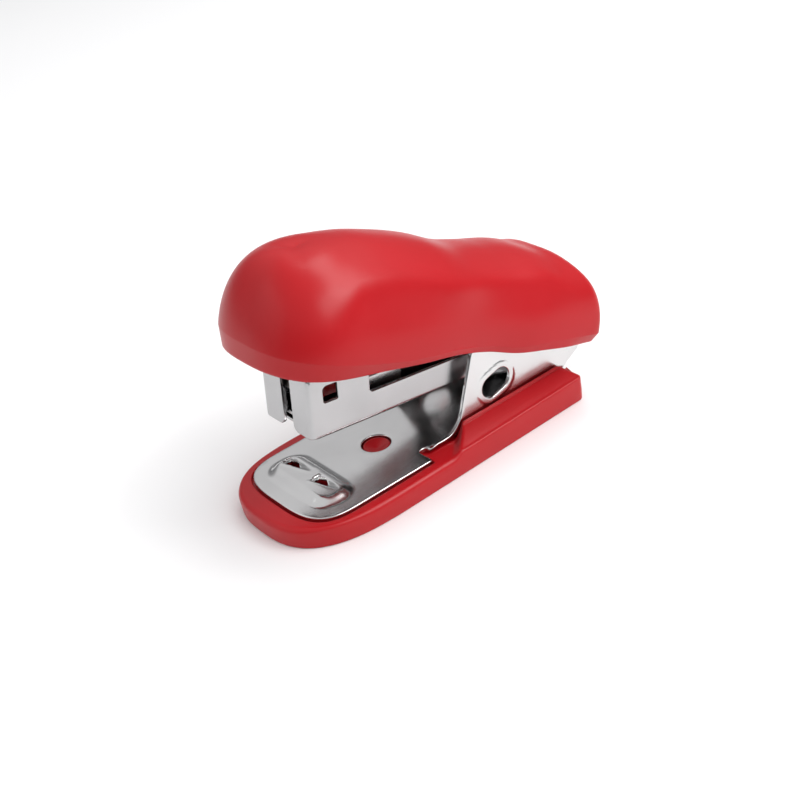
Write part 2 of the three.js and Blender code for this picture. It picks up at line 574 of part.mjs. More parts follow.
// A point on the cover's skin: u runs round the rim, v from the rim (0) to the ridge (1).
function coverPoint(u, v, inset) {
  const nose = COVER.noseCentre;
  const tail = COVER.tailCentre;
  const side = u < 0 ? -1 : 1;
  const s = Math.abs(u);
  let x;
  let y;
  let ridgeY;
  if (s < 1) {
    const angle = (1 - s) * Math.PI / 2;
    x = (coverHalf(nose) - inset) * squared(Math.cos(angle), COVER.nosePower);
    y = nose - (nose - COVER.front - inset) * squared(Math.sin(angle), COVER.nosePower);
    ridgeY = nose + (y - nose) * RIDGE.noseReach;
  } else if (s < 2) {
    y = nose + (tail - nose) * (s - 1);
    x = coverHalf(y) - inset;
    const bend = THREE.MathUtils.clamp((y - RIDGE.bendFrom) / (tail - RIDGE.bendFrom), 0, 1);
    ridgeY = y - (tail - RIDGE.tailEnd) * bend ** 2;
  } else {
    const angle = (s - 2) * Math.PI / 2;
    const power = COVER.tailPower + (COVER.tailTopPower - COVER.tailPower) * smooth(COVER.skirt, 0.75, v);
    x = (coverHalf(tail) - inset) * squared(Math.cos(angle), power);
    y = tail + (COVER.rear - tail - inset) * squared(Math.sin(angle), power);
    ridgeY = RIDGE.tailEnd + (y - tail) * RIDGE.tailReach;
  }
  if (v < COVER.skirt) {
    const t = v / COVER.skirt;
    const tuck = 1 - (1 - t) * coverTuck(y) / COVER.half;
    return [side * x * tuck, ridgeY + (y - ridgeY) * tuck, coverEdge(y) + (coverWidest(y) - coverEdge(y)) * t];
  }
  const angle = (v - COVER.skirt) / (1 - COVER.skirt) * Math.PI / 2;
  const low = coverWidest(y);
  const high = crown(ridgeY) - inset;
  const spread = squared(Math.cos(angle), COVER.acrossPower);
  const rise = squared(Math.sin(angle), COVER.risePower + COVER.tailSquareness * smooth(-45, 0, y));
  return [side * x * spread, ridgeY + (y - ridgeY) * spread, low + (high - low) * rise];
}

// Rows of points over the skin. With a floor height given, each column starts down there.
function coverSkin(inset, floor) {
  const rimSteps = 60;
  const riseSteps = 12;
  const rows = [];
  for (let i = 0; i <= rimSteps; i += 1) {
    const u = -3 + 6 * i / rimSteps;
    const column = [];
    if (floor !== undefined) {
      const [x, y] = coverPoint(u, 0, inset);
      column.push([x, y, floor]);
    }
    for (let j = 0; j <= riseSteps; j += 1) {
      column.push(coverPoint(u, j / riseSteps, inset));
    }
    rows.push(column);
  }
  return rows;
}

// A closed body: the skin, and a fan across its open underside.
function coverBody(inset, floor) {
  const rows = coverSkin(inset, floor);
  const count = rows[0].length;
  const last = rows.length - 1;
  const index = [];
  for (let i = 0; i < last; i += 1) {
    for (let j = 0; j + 1 < count; j += 1) {
      const a = i * count + j;
      const b = a + count;
      index.push(a, b, b + 1, a, b + 1, a + 1);
    }
  }
  for (let i = 0; i < last / 2; i += 1) {
    const [a, b] = [i * count, (i + 1) * count];
    const [c, d] = [(last - i) * count, (last - i - 1) * count];
    index.push(a, c, d, a, d, b);
  }
  const geometry = new THREE.BufferGeometry();
  geometry.setAttribute("position", new THREE.BufferAttribute(new Float32Array(rows.flat(2)), 3));
  geometry.setIndex(index);
  return toSolid(geometry);
}

function topCover() {
  const outside = coverBody(0);
  const inside = coverBody(COVER_WALL, -6);
  const arch = block(-ARCH.half, ARCH.half, 3, 12, -6, ARCH.top);
  return redPlastic("top_cover", cut(outside, inside, arch));
}

// ---------------------------------------------------------------- assembly
const cover = new THREE.Group();
cover.rotation.x = -COVER_OPEN;
cover.add(topCover(), driverFrame(), driverBlade());
cover.add(bladeRivet("blade_rivet_left", -1), bladeRivet("blade_rivet_right", 1));

const magazine = new THREE.Group();
magazine.position.copy(PIVOT);
magazine.rotation.x = -MAGAZINE_OPEN;
magazine.add(magazineChannel(), stapleRail(), stapleStrip(), staplePusher(), pusherRod(), pusherSpring());
magazine.add(railRivet("rail_rivet_front", RAIL_RIVETS_Y[0]), railRivet("rail_rivet_rear", RAIL_RIVETS_Y[1]));
magazine.add(coverSpring(), pivotWasher(-1), pivotWasher(1));
magazine.add(cover);

const stapler = new THREE.Group();
stapler.add(baseHousing(), anvilPlate(), liftSpring(), liftSpringRivet(), hingePin(), hingePinCollar());
stapler.add(magazine);

export default stapler;
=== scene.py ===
"""Looks of the mini stapler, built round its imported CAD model. Sizes are in mm until a mesh is made."""
import math

import bmesh
import bpy
import numpy as np
from mathutils import Matrix, Vector
from mathutils.geometry import delaunay_2d_cdt


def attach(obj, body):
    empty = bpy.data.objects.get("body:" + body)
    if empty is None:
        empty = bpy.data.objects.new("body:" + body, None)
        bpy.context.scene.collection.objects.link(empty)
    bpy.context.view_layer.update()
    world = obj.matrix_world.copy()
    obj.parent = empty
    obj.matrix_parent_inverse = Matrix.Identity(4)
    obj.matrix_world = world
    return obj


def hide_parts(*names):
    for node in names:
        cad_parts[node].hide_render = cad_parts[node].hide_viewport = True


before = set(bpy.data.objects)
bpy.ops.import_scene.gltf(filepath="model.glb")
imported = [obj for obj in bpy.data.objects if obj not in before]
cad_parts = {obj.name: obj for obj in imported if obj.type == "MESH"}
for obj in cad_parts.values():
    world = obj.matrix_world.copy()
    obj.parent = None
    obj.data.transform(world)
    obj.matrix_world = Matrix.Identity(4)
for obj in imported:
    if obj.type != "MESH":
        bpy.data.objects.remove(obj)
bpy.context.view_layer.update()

MM = 0.001
WELD_DISTANCE, DEGENERATE_EDGE = 2e-6, 1e-7
RELIEF_DEPTH = 0.00002
PIVOT_Y, PIVOT_Z = 25.2, 12.7
MAG_TILT = math.radians(7.5)
COVER_TILT = math.radians(18.5)


# ------------------------------------------------------------------ placing
def level(p):
    """A point that is in the row frame already."""
    return p


def tilted(angle):
    """From a level frame centred on the pivot to the row frame, nose raised by the angle."""
    c, s = math.cos(angle), math.sin(angle)
    return lambda p: (p[0], PIVOT_Y + p[1] * c + p[2] * s, PIVOT_Z - p[1] * s + p[2] * c)


in_magazine = tilted(MAG_TILT)
in_cover = tilted(COVER_TILT)


def smooth(a, b, t):
    """Rises smoothly from 0 at a to 1 at b."""
    x = np.clip((t - a) / (b - a), 0, 1)
    return x * x * (3 - 2 * x)


def bump(centre, width, t):
    """A soft bump, 1 high at its centre."""
    return np.exp(-((t - centre) / width) ** 2)


# ------------------------------------------------------------------ materials
def new_material(name):
    """An empty node material, with its nodes and links."""
    material = bpy.data.materials.new(name)
    material.use_nodes = True
    return material, material.node_tree.nodes, material.node_tree.links


def noise(nodes, links, scale, detail=3.0, stretch=None):
    """A noise texture fixed to the object."""
    coords = nodes.new("ShaderNodeTexCoord")
    texture = nodes.new("ShaderNodeTexNoise")
    texture.inputs["Scale"].default_value = scale
    texture.inputs["Detail"].default_value = detail
    source = coords.outputs["Object"]
    if stretch:
        mapping = nodes.new("ShaderNodeMapping")
        mapping.inputs["Scale"].default_value = stretch
        links.new(source, mapping.inputs["Vector"])
        source = mapping.outputs["Vector"]
    links.new(source, texture.inputs["Vector"])
    return texture


def spread(nodes, links, texture, low, high, socket):
    """Drive a number from a noise texture, between two values."""
    ramp = nodes.new("ShaderNodeMapRange")
    ramp.inputs["From Min"].default_value = 0.3
    ramp.inputs["From Max"].default_value = 0.7
    ramp.inputs["To Min"].default_value = low
    ramp.inputs["To Max"].default_value = high
    links.new(texture.outputs["Fac"], ramp.inputs["Value"])
    links.new(ramp.outputs["Result"], socket)


def two_tone(nodes, links, texture, dark, light, socket):
    """Drive a colour from a noise texture, between two shades."""
    ramp = nodes.new("ShaderNodeValToRGB")
    ramp.color_ramp.elements[0].position = 0.35
    ramp.color_ramp.elements[0].color = (*dark, 1)
    ramp.color_ramp.elements[1].position = 0.65
    ramp.color_ramp.elements[1].color = (*light, 1)
    links.new(texture.outputs["Fac"], ramp.inputs["Fac"])
    links.new(ramp.outputs["Color"], socket)


def fine_bump(nodes, links, texture, strength, socket):
    """A very shallow grain from a noise texture."""
    relief = nodes.new("ShaderNodeBump")
    relief.inputs["Strength"].default_value = strength
    relief.inputs["Distance"].default_value = RELIEF_DEPTH
    links.new(texture.outputs["Fac"], relief.inputs["Height"])
    links.new(relief.outputs["Normal"], socket)


def plastic(name, dark, light, rough, coat, grain):
    material, nodes, links = new_material(name)
    shader = nodes["Principled BSDF"]
    shader.inputs["IOR"].default_value = 1.5
    shader.inputs["Specular IOR Level"].default_value = 0.3
    shader.inputs["Coat Weight"].default_value = coat
    shader.inputs["Coat Roughness"].default_value = 0.22
    wide = noise(nodes, links, 60)
    fine = noise(nodes, links, 2600, 2)
    two_tone(nodes, links, wide, dark, light, shader.inputs["Base Color"])
    spread(nodes, links, wide, rough[0], rough[1], shader.inputs["Roughness"])
    fine_bump(nodes, links, fine, grain, shader.inputs["Normal"])
    return material


def metal(name, dark, light, rough, stretch=None, grain=0.05, scale=900, metallic=1.0):
    material, nodes, links = new_material(name)
    shader = nodes["Principled BSDF"]
    shader.inputs["Metallic"].default_value = metallic
    wide = noise(nodes, links, 120)
    fine = noise(nodes, links, scale, 3, stretch)
    two_tone(nodes, links, wide, dark, light, shader.inputs["Base Color"])
    spread(nodes, links, fine, rough[0], rough[1], shader.inputs["Roughness"])
    if grain:
        fine_bump(nodes, links, fine, grain, shader.inputs["Normal"])
    return material


RED = plastic("red_abs", (0.43, 0.0035, 0.007), (0.46, 0.0045, 0.009), (0.34, 0.38), 0.06, 0.04)
RED_BASE = plastic("red_abs_base", (0.45, 0.004, 0.008), (0.48, 0.005, 0.010), (0.38, 0.43), 0.16, 0.04)
CHROME = metal("bright_plating", (0.66, 0.655, 0.655), (0.70, 0.695, 0.695), (0.17, 0.21), grain=0, scale=300)
NICKEL = metal("satin_nickel", (0.45, 0.445, 0.45), (0.49, 0.485, 0.49), (0.23, 0.27), (1, 0.3, 1), 0)
INNER = metal("dull_steel", (0.66, 0.64, 0.63), (0.74, 0.72, 0.71), (0.42, 0.52), (1, 0.3, 1), 0,
              metallic=0.55)
STEEL = metal("plain_steel", (0.60, 0.60, 0.60), (0.68, 0.68, 0.68), (0.22, 0.34), (1, 0.1, 1), 0.06)
SPRING = metal("spring_wire", (0.56, 0.56, 0.57), (0.64, 0.64, 0.65), (0.16, 0.26))
STAPLES = metal("staple_wire", (0.74, 0.74, 0.74), (0.80, 0.80, 0.80), (0.16, 0.26))
BLADE = metal("dark_blade", (0.16, 0.14, 0.13), (0.22, 0.20, 0.18), (0.28, 0.42), (1, 1, 0.08), 0.1)
NYLON = plastic("black_nylon", (0.018, 0.018, 0.020), (0.030, 0.030, 0.032), (0.42, 0.55), 0.0, 0.3)


# ------------------------------------------------------------------ meshes
def make(name, vertices, faces, material, body, replaces=(), slot=None, place=level, flat_weight=True):
    """A piece from vertices in millimetres, welded, with its faces turned outwards."""
    mesh = bpy.data.meshes.new(name)
    points = [tuple(MM * float(c) for c in place(v)) for v in vertices]
    mesh.from_pydata(points, [], [tuple(int(i) for i in f) for f in faces])
    work = bmesh.new()
    work.from_mesh(mesh)
    bmesh.ops.remove_doubles(work, verts=work.verts, dist=WELD_DISTANCE)
    bmesh.ops.dissolve_degenerate(work, edges=work.edges, dist=DEGENERATE_EDGE)
    bmesh.ops.recalc_face_normals(work, faces=work.faces)
    work.to_mesh(mesh)
    work.free()
    mesh.polygons.foreach_set("use_smooth", [True] * len(mesh.polygons))
    mesh.materials.append(material)
    piece = bpy.data.objects.new(name, mesh)
    bpy.context.scene.collection.objects.link(piece)
    if flat_weight:
        weighted = piece.modifiers.new("flat_faces", "WEIGHTED_NORMAL")
        weighted.weight = 80
    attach(piece, body)
    if replaces:
        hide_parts(*replaces)
    return piece


class Build:
    """Vertices and faces collected from several closed forms."""

    def __init__(self):
        self.vertices = []
        self.faces = []

    def add(self, vertices, faces):
        start = len(self.vertices)
        self.vertices.extend(vertices)
        self.faces.extend([[start + i for i in f] for f in faces])


def grid_faces(rows, columns, wrap_rows=False, wrap_columns=False):
    """Four-sided faces between the rows of a grid of vertices."""
    faces = []
    for i in range(rows if wrap_rows else rows - 1):
        for j in range(columns if wrap_columns else columns - 1):
            a = i * columns + j
            b = i * columns + (j + 1) % columns
            c = ((i + 1) % rows) * columns + (j + 1) % columns
            d = ((i + 1) % rows) * columns + j
            faces.append([a, b, c, d])
    return faces


def side_lengths(points):
    """Length of each side of a closed outline."""
    p = np.array(points, float)
    return np.linalg.norm(np.roll(p, -1, 0) - p, axis=1)


def divided(points, spacing):
    """A closed outline with its long straight runs divided, corners kept."""
    result = []
    lengths = side_lengths(points)
    for i, p in enumerate(points):
        q = points[(i + 1) % len(points)]
        count = max(1, int(math.ceil(lengths[i] / spacing)))
        for k in range(count):
            result.append((p[0] + (q[0] - p[0]) * k / count, p[1] + (q[1] - p[1]) * k / count))
    return result


def inset(points, distance):
    """An outline moved sideways to its left by a distance."""
    p = np.array(points, float)
    before = p - np.roll(p, 1, 0)
    after = np.roll(p, -1, 0) - p
    before /= np.linalg.norm(before, axis=1)[:, None] + 1e-12
    after /= np.linalg.norm(after, axis=1)[:, None] + 1e-12
    n0 = np.stack([-before[:, 1], before[:, 0]], 1)
    n1 = np.stack([-after[:, 1], after[:, 0]], 1)
    n = n0 + n1
    n /= np.linalg.norm(n, axis=1)[:, None] + 1e-12
    stretch = 1 / np.clip((n * n0).sum(1), 0.6, 1)
    return p + n * (distance * stretch)[:, None]


def inside(loops, q):
    """Whether each point of q is inside the outlines, by the even-odd rule."""
    result = np.zeros(len(q), bool)
    for loop in loops:
        a = np.array(loop, float)
        b = np.roll(a, -1, 0)
        for (x0, y0), (x1, y1) in zip(a, b):
            if y0 == y1:
                continue
            crosses = (q[:, 1] > min(y0, y1)) & (q[:, 1] <= max(y0, y1))
            x = x0 + (q[:, 1] - y0) * (x1 - x0) / (y1 - y0)
            result ^= crosses & (q[:, 0] < x)
    return result


def clockwise(points):
    """Whether a closed outline runs clockwise."""
    p = np.array(points, float)
    q = np.roll(p, -1, 0)
    return (p[:, 0] * q[:, 1] - q[:, 0] * p[:, 1]).sum() < 0


def plate_form(outline, holes, thick, shape, edge=0.15, spacing=0.9, fine=(), steps=4):
    """A sheet cut to a flat outline, with rounded edges, then bent and pressed by shape(u, v, w).
    fine is a list of ((u0, u1), (v0, v1), du, dv) zones with closer points."""
    loops = []
    for k, points in enumerate([outline] + list(holes)):
        points = list(points)
        if clockwise(points) == (k == 0):
            points.reverse()
        loops.append(divided(points, spacing))
    rings = []
    for k in range(steps + 1):
        a = k / steps * math.pi / 2
        rings.append((edge * (1 - math.sin(a)), edge * (1 - math.cos(a))))
    profile = rings + [(e, thick - w) for e, w in reversed(rings)]
    face_loops = [inset(loop, edge) for loop in loops]
    lines = np.concatenate(face_loops)
    low, high = lines.min(0), lines.max(0)
    extra = []

    def add_grid(u0, u1, v0, v1, du, dv, skip):
        us = np.arange(u0 + du / 2, u1, du)
        vs = np.arange(v0 + dv / 2, v1, dv)
        if not len(us) or not len(vs):
            return
        q = np.array([(u, v) for u in us for v in vs])
        keep = inside(face_loops, q)
        for (a0, a1), (b0, b1), *_ in skip:
            keep &= ~((q[:, 0] > a0) & (q[:, 0] < a1) & (q[:, 1] > b0) & (q[:, 1] < b1))
        q = q[keep]
        if not len(q):
            return
        margin = 0.35 * min(du, dv)
        near = np.full(len(q), 1e9)
        for start in range(0, len(lines), 64):
            d = np.linalg.norm(q[:, None] - lines[None, start:start + 64], axis=2)
            near = np.minimum(near, d.min(1))
        extra.extend(q[near > margin].tolist())

    for i, ((a0, a1), (b0, b1), du, dv) in enumerate(fine):
        add_grid(a0, a1, b0, b1, du, dv, fine[:i])
    add_grid(low[0], high[0], low[1], high[1], spacing, spacing, fine)
    coords = [Vector(p) for p in lines.tolist()] + [Vector(p) for p in extra]
    edges = []
    starts = []
    count = 0
    for loop in face_loops:
        starts.append(count)
        edges.extend((count + i, count + (i + 1) % len(loop)) for i in range(len(loop)))
        count += len(loop)
    out, _, triangles, origin, _, _ = delaunay_2d_cdt(coords, edges, [], 0, 1e-7)
    flat = np.array([(v.x, v.y) for v in out])
    triangles = np.array([t for t in triangles if len(t) == 3])
    keep = inside(face_loops, flat[triangles].mean(1))
    triangles = triangles[keep]
    where = {}
    for index, sources in enumerate(origin):
        for s in sources:
            where[s] = index
    vertices = [shape(u, v, 0.0) for u, v in flat]
    below = len(vertices)
    vertices += [shape(u, v, thick) for u, v in flat]
    faces = [list(reversed(t)) for t in triangles.tolist()]
    faces += [[below + i for i in t] for t in triangles.tolist()]
    for loop, start in zip(loops, starts):
        size = len(loop)
        columns = []
        for k, (e, w) in enumerate(profile):
            if k == 0:
                columns.append([where[start + i] for i in range(size)])
            elif k == len(profile) - 1:
                columns.append([below + where[start + i] for i in range(size)])
            else:
                ring = inset(loop, e)
                first = len(vertices)
                vertices += [shape(u, v, w) for u, v in ring]
                columns.append(list(range(first, first + size)))
        for a, b in zip(columns, columns[1:]):
            for i in range(size):
                j = (i + 1) % size
                faces.append([a[i], a[j], b[j], b[i]])
    return vertices, faces


def arc(cu, cv, radius, start, end, steps=10):
    """Points of an arc, from one angle to another in degrees."""
    angles = np.radians(np.linspace(start, end, steps + 1))
    return [(cu + radius * math.cos(a), cv + radius * math.sin(a)) for a in angles]


def circle(cu, cv, radius, steps):
    return arc(cu, cv, radius, 0, 360, steps)[:-1]


def between(a, b, c, d, t):
    """The smooth curve through a, b, c and d, at a part t of the way from b to c."""
    return 0.5 * (2 * b + (c - a) * t + (2 * a - 5 * b + 4 * c - d) * t ** 2
                  + (3 * b - a - 3 * c + d) * t ** 3)


def curve_through(points, steps=8):
    """A smooth line through points in any dimension."""
    p = np.array(points, float)
    p = np.vstack([2 * p[0] - p[1], p, 2 * p[-1] - p[-2]])
    result = []
    for a, b, c, d in zip(p, p[1:], p[2:], p[3:]):
        result += [tuple(between(a, b, c, d, k / steps)) for k in range(steps)]
    return [*result, tuple(p[-2])]


def revolved(profile, axis, centre, steps=64):
    """A closed form from (distance along the axis, radius) points."""
    vertices = []
    for k in range(steps):
        a = 2 * math.pi * k / steps
        for along, radius in profile:
            p, q = radius * math.cos(a), radius * math.sin(a)
            offset = {"x": (along, p, q), "y": (q, along, p), "z": (p, q, along)}[axis]
            vertices.append(tuple(c + o for c, o in zip(centre, offset)))
    return vertices, grid_faces(steps, len(profile), wrap_rows=True)


# ------------------------------------------------------------------ cover
COVER_FRONT, COVER_REAR, COVER_HALF = -57.8, 7.7, 15.0
NOSE_C, TAIL_C = -43.5, 2.7
SKIRT = 0.16
WALL = 1.6
NOSE_POWER, TAIL_POWER, TAIL_TOP_POWER = 2.66, 8, 3.4
ARCH_TOP, ARCH_INNER, ARCH_OUTER = 7.0, 11.8, 12.4
FIRST_STATION, STATION_STEP = -54, 7
RIDGE_HEIGHTS = (14.4, 18.2, 19.1, 18.7, 17.7, 16.0, 15.4, 15.0, 13.4)
EDGE_HEIGHTS = (-0.15, 0.3, 0.8, 1.1, 1.4, 0.9, -0.2, -0.35, -0.5)


def fair_line(heights):
    """A fair line through heights at even stations along the cover."""
    h = (2 * heights[0] - heights[1], *heights, 2 * heights[-1] - heights[-2])

    def read(y):
        k = min(max((y - FIRST_STATION) / STATION_STEP, 0.0), len(heights) - 1.0001)
        i = int(k)
        return between(*h[i:i + 4], k - i)
    return read


cover_top = fair_line(RIDGE_HEIGHTS)
cover_edge = fair_line(EDGE_HEIGHTS)
NOSE_REACH, NOSE_EASE = 0.43, 1.6
TAIL_RIDGE, TAIL_REACH, TAIL_EASE = -0.3, 0.15, 3.0


def crown(y):
    """Height of the ridge, level at both of its ends."""
    front = NOSE_C + (COVER_FRONT - NOSE_C) * NOSE_REACH
    rear = TAIL_RIDGE + (COVER_REAR - TAIL_C) * TAIL_REACH
    if y < front + NOSE_EASE:
        y = front + NOSE_EASE / 2 + max(0.0, y - front) ** 2 / (2 * NOSE_EASE)
    elif y > rear - TAIL_EASE:
        y = rear - TAIL_EASE / 2 - max(0.0, rear - y) ** 2 / (2 * TAIL_EASE)
    return cover_top(y)


def cover_half(y):
    """Half the cover's width, with its slight waist."""
    return COVER_HALF + 0.4 * bump(-40, 13, y) - 0.7 * bump(-17, 9, y)


def cover_widest(y):
    """Height at which the section is widest."""
    return cover_edge(y) + 1.0 + 2.2 * (1 - smooth(-56, -34, y)) + 0.7 * smooth(-14, 2, y)


def cover_tuck(y):
    """How far the skirt draws in at its lower edge."""
    return 0.25 + 0.75 * (1 - smooth(-50, -30, y)) + 0.75 * smooth(-2, 6, y)


def shoulder_angle(y):
    """Where the side turns over into the top, as an angle up the section."""
    return 0.79 - 0.13 * bump(-25, 5.5, y) - 0.24 * (1 - smooth(-53, -43, y)) - 0.2 * smooth(-6, 4, y)


def shoulder_swell(y, angle):
    """How much the section swells at the shoulder, as a part of its size."""
    turn = shoulder_angle(y)
    swell = 0.030 * bump(turn, 0.18, angle) - 0.014 * bump(turn - 0.38, 0.2, angle)
    swell -= 0.008 * bump(turn + 0.40, 0.2, angle)
    return swell * smooth(-52, -41, y) * (1 - 0.85 * smooth(-9, 3, y))


def cover_point(u, v, depth):
    """A point of the skin: u runs round the plan, v from the lower edge to the ridge, depth inwards."""
    side = -1 if u < 0 else 1
    s = abs(u)
    if s < 1:
        angle = (1 - s) * math.pi / 2
        x = (cover_half(NOSE_C) - depth) * math.cos(angle) ** (2 / NOSE_POWER)
        y = NOSE_C - (NOSE_C - COVER_FRONT - depth) * math.sin(angle) ** (2 / NOSE_POWER)
        ridge = NOSE_C + (y - NOSE_C) * NOSE_REACH
    elif s < 2:
        y = NOSE_C + (TAIL_C - NOSE_C) * (s - 1)
        x = cover_half(y) - depth
        ridge = y - (TAIL_C - TAIL_RIDGE) * min(1.0, max(0.0, (y + 12) / (TAIL_C + 12))) ** 2
    else:
        angle = (s - 2) * math.pi / 2
        power = TAIL_POWER - (TAIL_POWER - TAIL_TOP_POWER) * smooth(SKIRT, 0.75, v)
        x = (cover_half(TAIL_C) - depth) * max(0.0, math.cos(angle) - 1e-9) ** (2 / power)
        y = TAIL_C + (COVER_REAR - TAIL_C - depth) * math.sin(angle) ** (2 / power)
        ridge = TAIL_RIDGE + (y - TAIL_C) * TAIL_REACH
    low = cover_widest(y)
    if v < SKIRT:
        t = v / SKIRT
        tuck = 1 - (1 - t) * cover_tuck(y) / COVER_HALF
        return side * x * tuck, ridge + (y - ridge) * tuck, cover_edge(y) + (low - cover_edge(y)) * t
    angle = (v - SKIRT) / (1 - SKIRT) * math.pi / 2
    high = crown(ridge) - depth
    swell = 1 + shoulder_swell(y, angle)
    across = max(0.0, math.cos(angle)) ** (2 / 2.3) * swell
    rise = math.sin(angle) ** (2 / (2.0 + 0.64 * smooth(-45, 0, y))) * swell
    return side * x * across, ridge + (y - ridge) * across, low + (high - low) * rise


def cover_column(u, rise, arch, depth):
    """Points up the skin at one place round the plan, none below the arch."""
    points = [cover_point(u, v, depth) for v in rise]
    return [(x, y, max(z, arch) if arch > 0.5 else z) for x, y, z in points]


def cover_rim(outer, inner):
    """The rounded lower edge between the outer and the inner skin."""
    (x0, y0, z0), (x1, y1, z1) = outer, inner
    rim = []
    for k in range(1, 6):
        a = k / 6 * math.pi
        t = 0.5 - 0.5 * math.cos(a)
        z = min(z0, z1) + 0.25 * (1 - math.sin(a)) - 0.2
        rim.append((x0 + (x1 - x0) * t, y0 + (y1 - y0) * t, z))
    return rim


def cover_form():
    """Outside, rounded rim and inside of the cover, as one closed skin."""
    us = np.concatenate([np.linspace(-3, -2, 61)[:-1], np.linspace(-2, -1, 101)[:-1],
                         np.linspace(-1, 1, 181)[:-1], np.linspace(1, 2, 101)[:-1], np.linspace(2, 3, 61)])
    rise = np.concatenate([[0.0, 0.02], np.linspace(0.05, SKIRT - 0.012, 5), [SKIRT - 0.004, SKIRT],
                           SKIRT + (1 - SKIRT) * np.linspace(0, 1, 64)[1:] ** 1.15])
    vertices = []
    for u in us:
        arch = 0.0
        if abs(u) > 2.2:
            arch = ARCH_TOP * (1 - smooth(ARCH_INNER, ARCH_OUTER, abs(cover_point(u, SKIRT, 0)[0])))
        outer = cover_column(u, rise, arch, 0.0)
        inner = cover_column(u, rise, arch, WALL)
        vertices += outer[::-1] + cover_rim(outer[0], inner[0]) + inner
    return vertices, grid_faces(len(us), len(vertices) // len(us))


make("cover_shell", *cover_form(), RED, "cover", ["top_cover"], "cover_plastic", in_cover, flat_weight=False)

# ------------------------------------------------------------------ base
BASE_HALF, BASE_REAR_HALF, BASE_NOSE, BASE_REAR = 14.7, 14.0, -33.8, 27.8
BASE_POWER, POCKET_POWER, POCKET_HALF, POCKET_DEPTH = 2.8, 3.4, 12.3, 10.05
NOSE_CENTRE_Y, BASE_NOSE_START, POCKET_NOSE_START = -16, -14, -20
RAIL_INNER = 9.75
RIM_HEIGHT, RAIL_HEIGHT = 3.9, 6.4
STUD_Y = -8.6


def base_side(y):
    """Half the base's width."""
    return BASE_HALF + (BASE_REAR_HALF - BASE_HALF) * min(1.0, max(0.0, (y + 14) / 41))


def nose_at(angle, half, start, depth, power):
    """Where a squared-off nose is met, at a polar angle from the side about the nose's centre."""
    t = np.linspace(0, math.pi / 2, 400)
    x = half * np.cos(t) ** (2 / power)
    y = start - depth * np.sin(t) ** (2 / power)
    x = np.concatenate([[half], x])
    y = np.concatenate([[NOSE_CENTRE_Y], y])
    polar = np.arctan2(-(y - NOSE_CENTRE_Y), x)
    order = np.argsort(polar)
    return np.interp(angle, polar[order], x[order]), np.interp(angle, polar[order], y[order])


def rim_path():
    """Pairs of outer and inner points, from the right rail's rear round the nose to the left rail's rear."""
    pairs = []
    corner = 1.3
    rear_half = base_side(BASE_REAR)
    for x in (9.85, 10.6, 11.5, rear_half - corner):
        pairs.append(((x, BASE_REAR), (RAIL_INNER, BASE_REAR - 0.1 - 0.05 * len(pairs))))
    for k in range(1, 9):
        a = math.pi / 2 * (1 - k / 8)
        pairs.append(((rear_half - corner + corner * math.cos(a), BASE_REAR - corner + corner * math.sin(a)),
                      (RAIL_INNER, BASE_REAR - 0.35 - 0.12 * k)))
    for y in (*np.linspace(26, 6, 26), *np.linspace(5.5, -5.2, 48)):
        pairs.append(((base_side(y), y), (RAIL_INNER, y)))
    for y in (-5.35, -5.5, -5.65):
        pairs.append(((base_side(y), y), (RAIL_INNER + (POCKET_HALF - RAIL_INNER) * smooth(-5.3, -5.6, y), y)))
    for y in np.linspace(-6, -15.5, 16):
        pairs.append(((base_side(y), y), (POCKET_HALF, y)))
    for a in np.linspace(0, math.pi / 2, 61):
        outer = nose_at(a, BASE_HALF, BASE_NOSE_START, BASE_NOSE_START - BASE_NOSE, BASE_POWER)
        inner = nose_at(a, POCKET_HALF, POCKET_NOSE_START, POCKET_DEPTH, POCKET_POWER)
        pairs.append((outer, inner))
    left = [((-p[0], p[1]), (-q[0], q[1])) for p, q in reversed(pairs[:-1])]
    return pairs + left


def rim_top(x, y):
    """Height of the base's upper surface beside the plate."""
    x = abs(x)
    rail = RAIL_HEIGHT - (x - 10.2) * 1.9 / 4.0 - 0.25 * max(0.0, 10.2 - x)
    rail -= 0.28 * bump(10.42, 0.13, x) + 1.5 * smooth(0, 1.8, y - (BASE_REAR - 2.4 + 0.5 * (x - 10)))
    line = 3.1 - (x - 10) * 4.3 / 4.0
    t = min(1.0, max(0.0, (y - line + 2.4) / 2.4))
    return RIM_HEIGHT + (rail - RIM_HEIGHT) * t ** 1.7


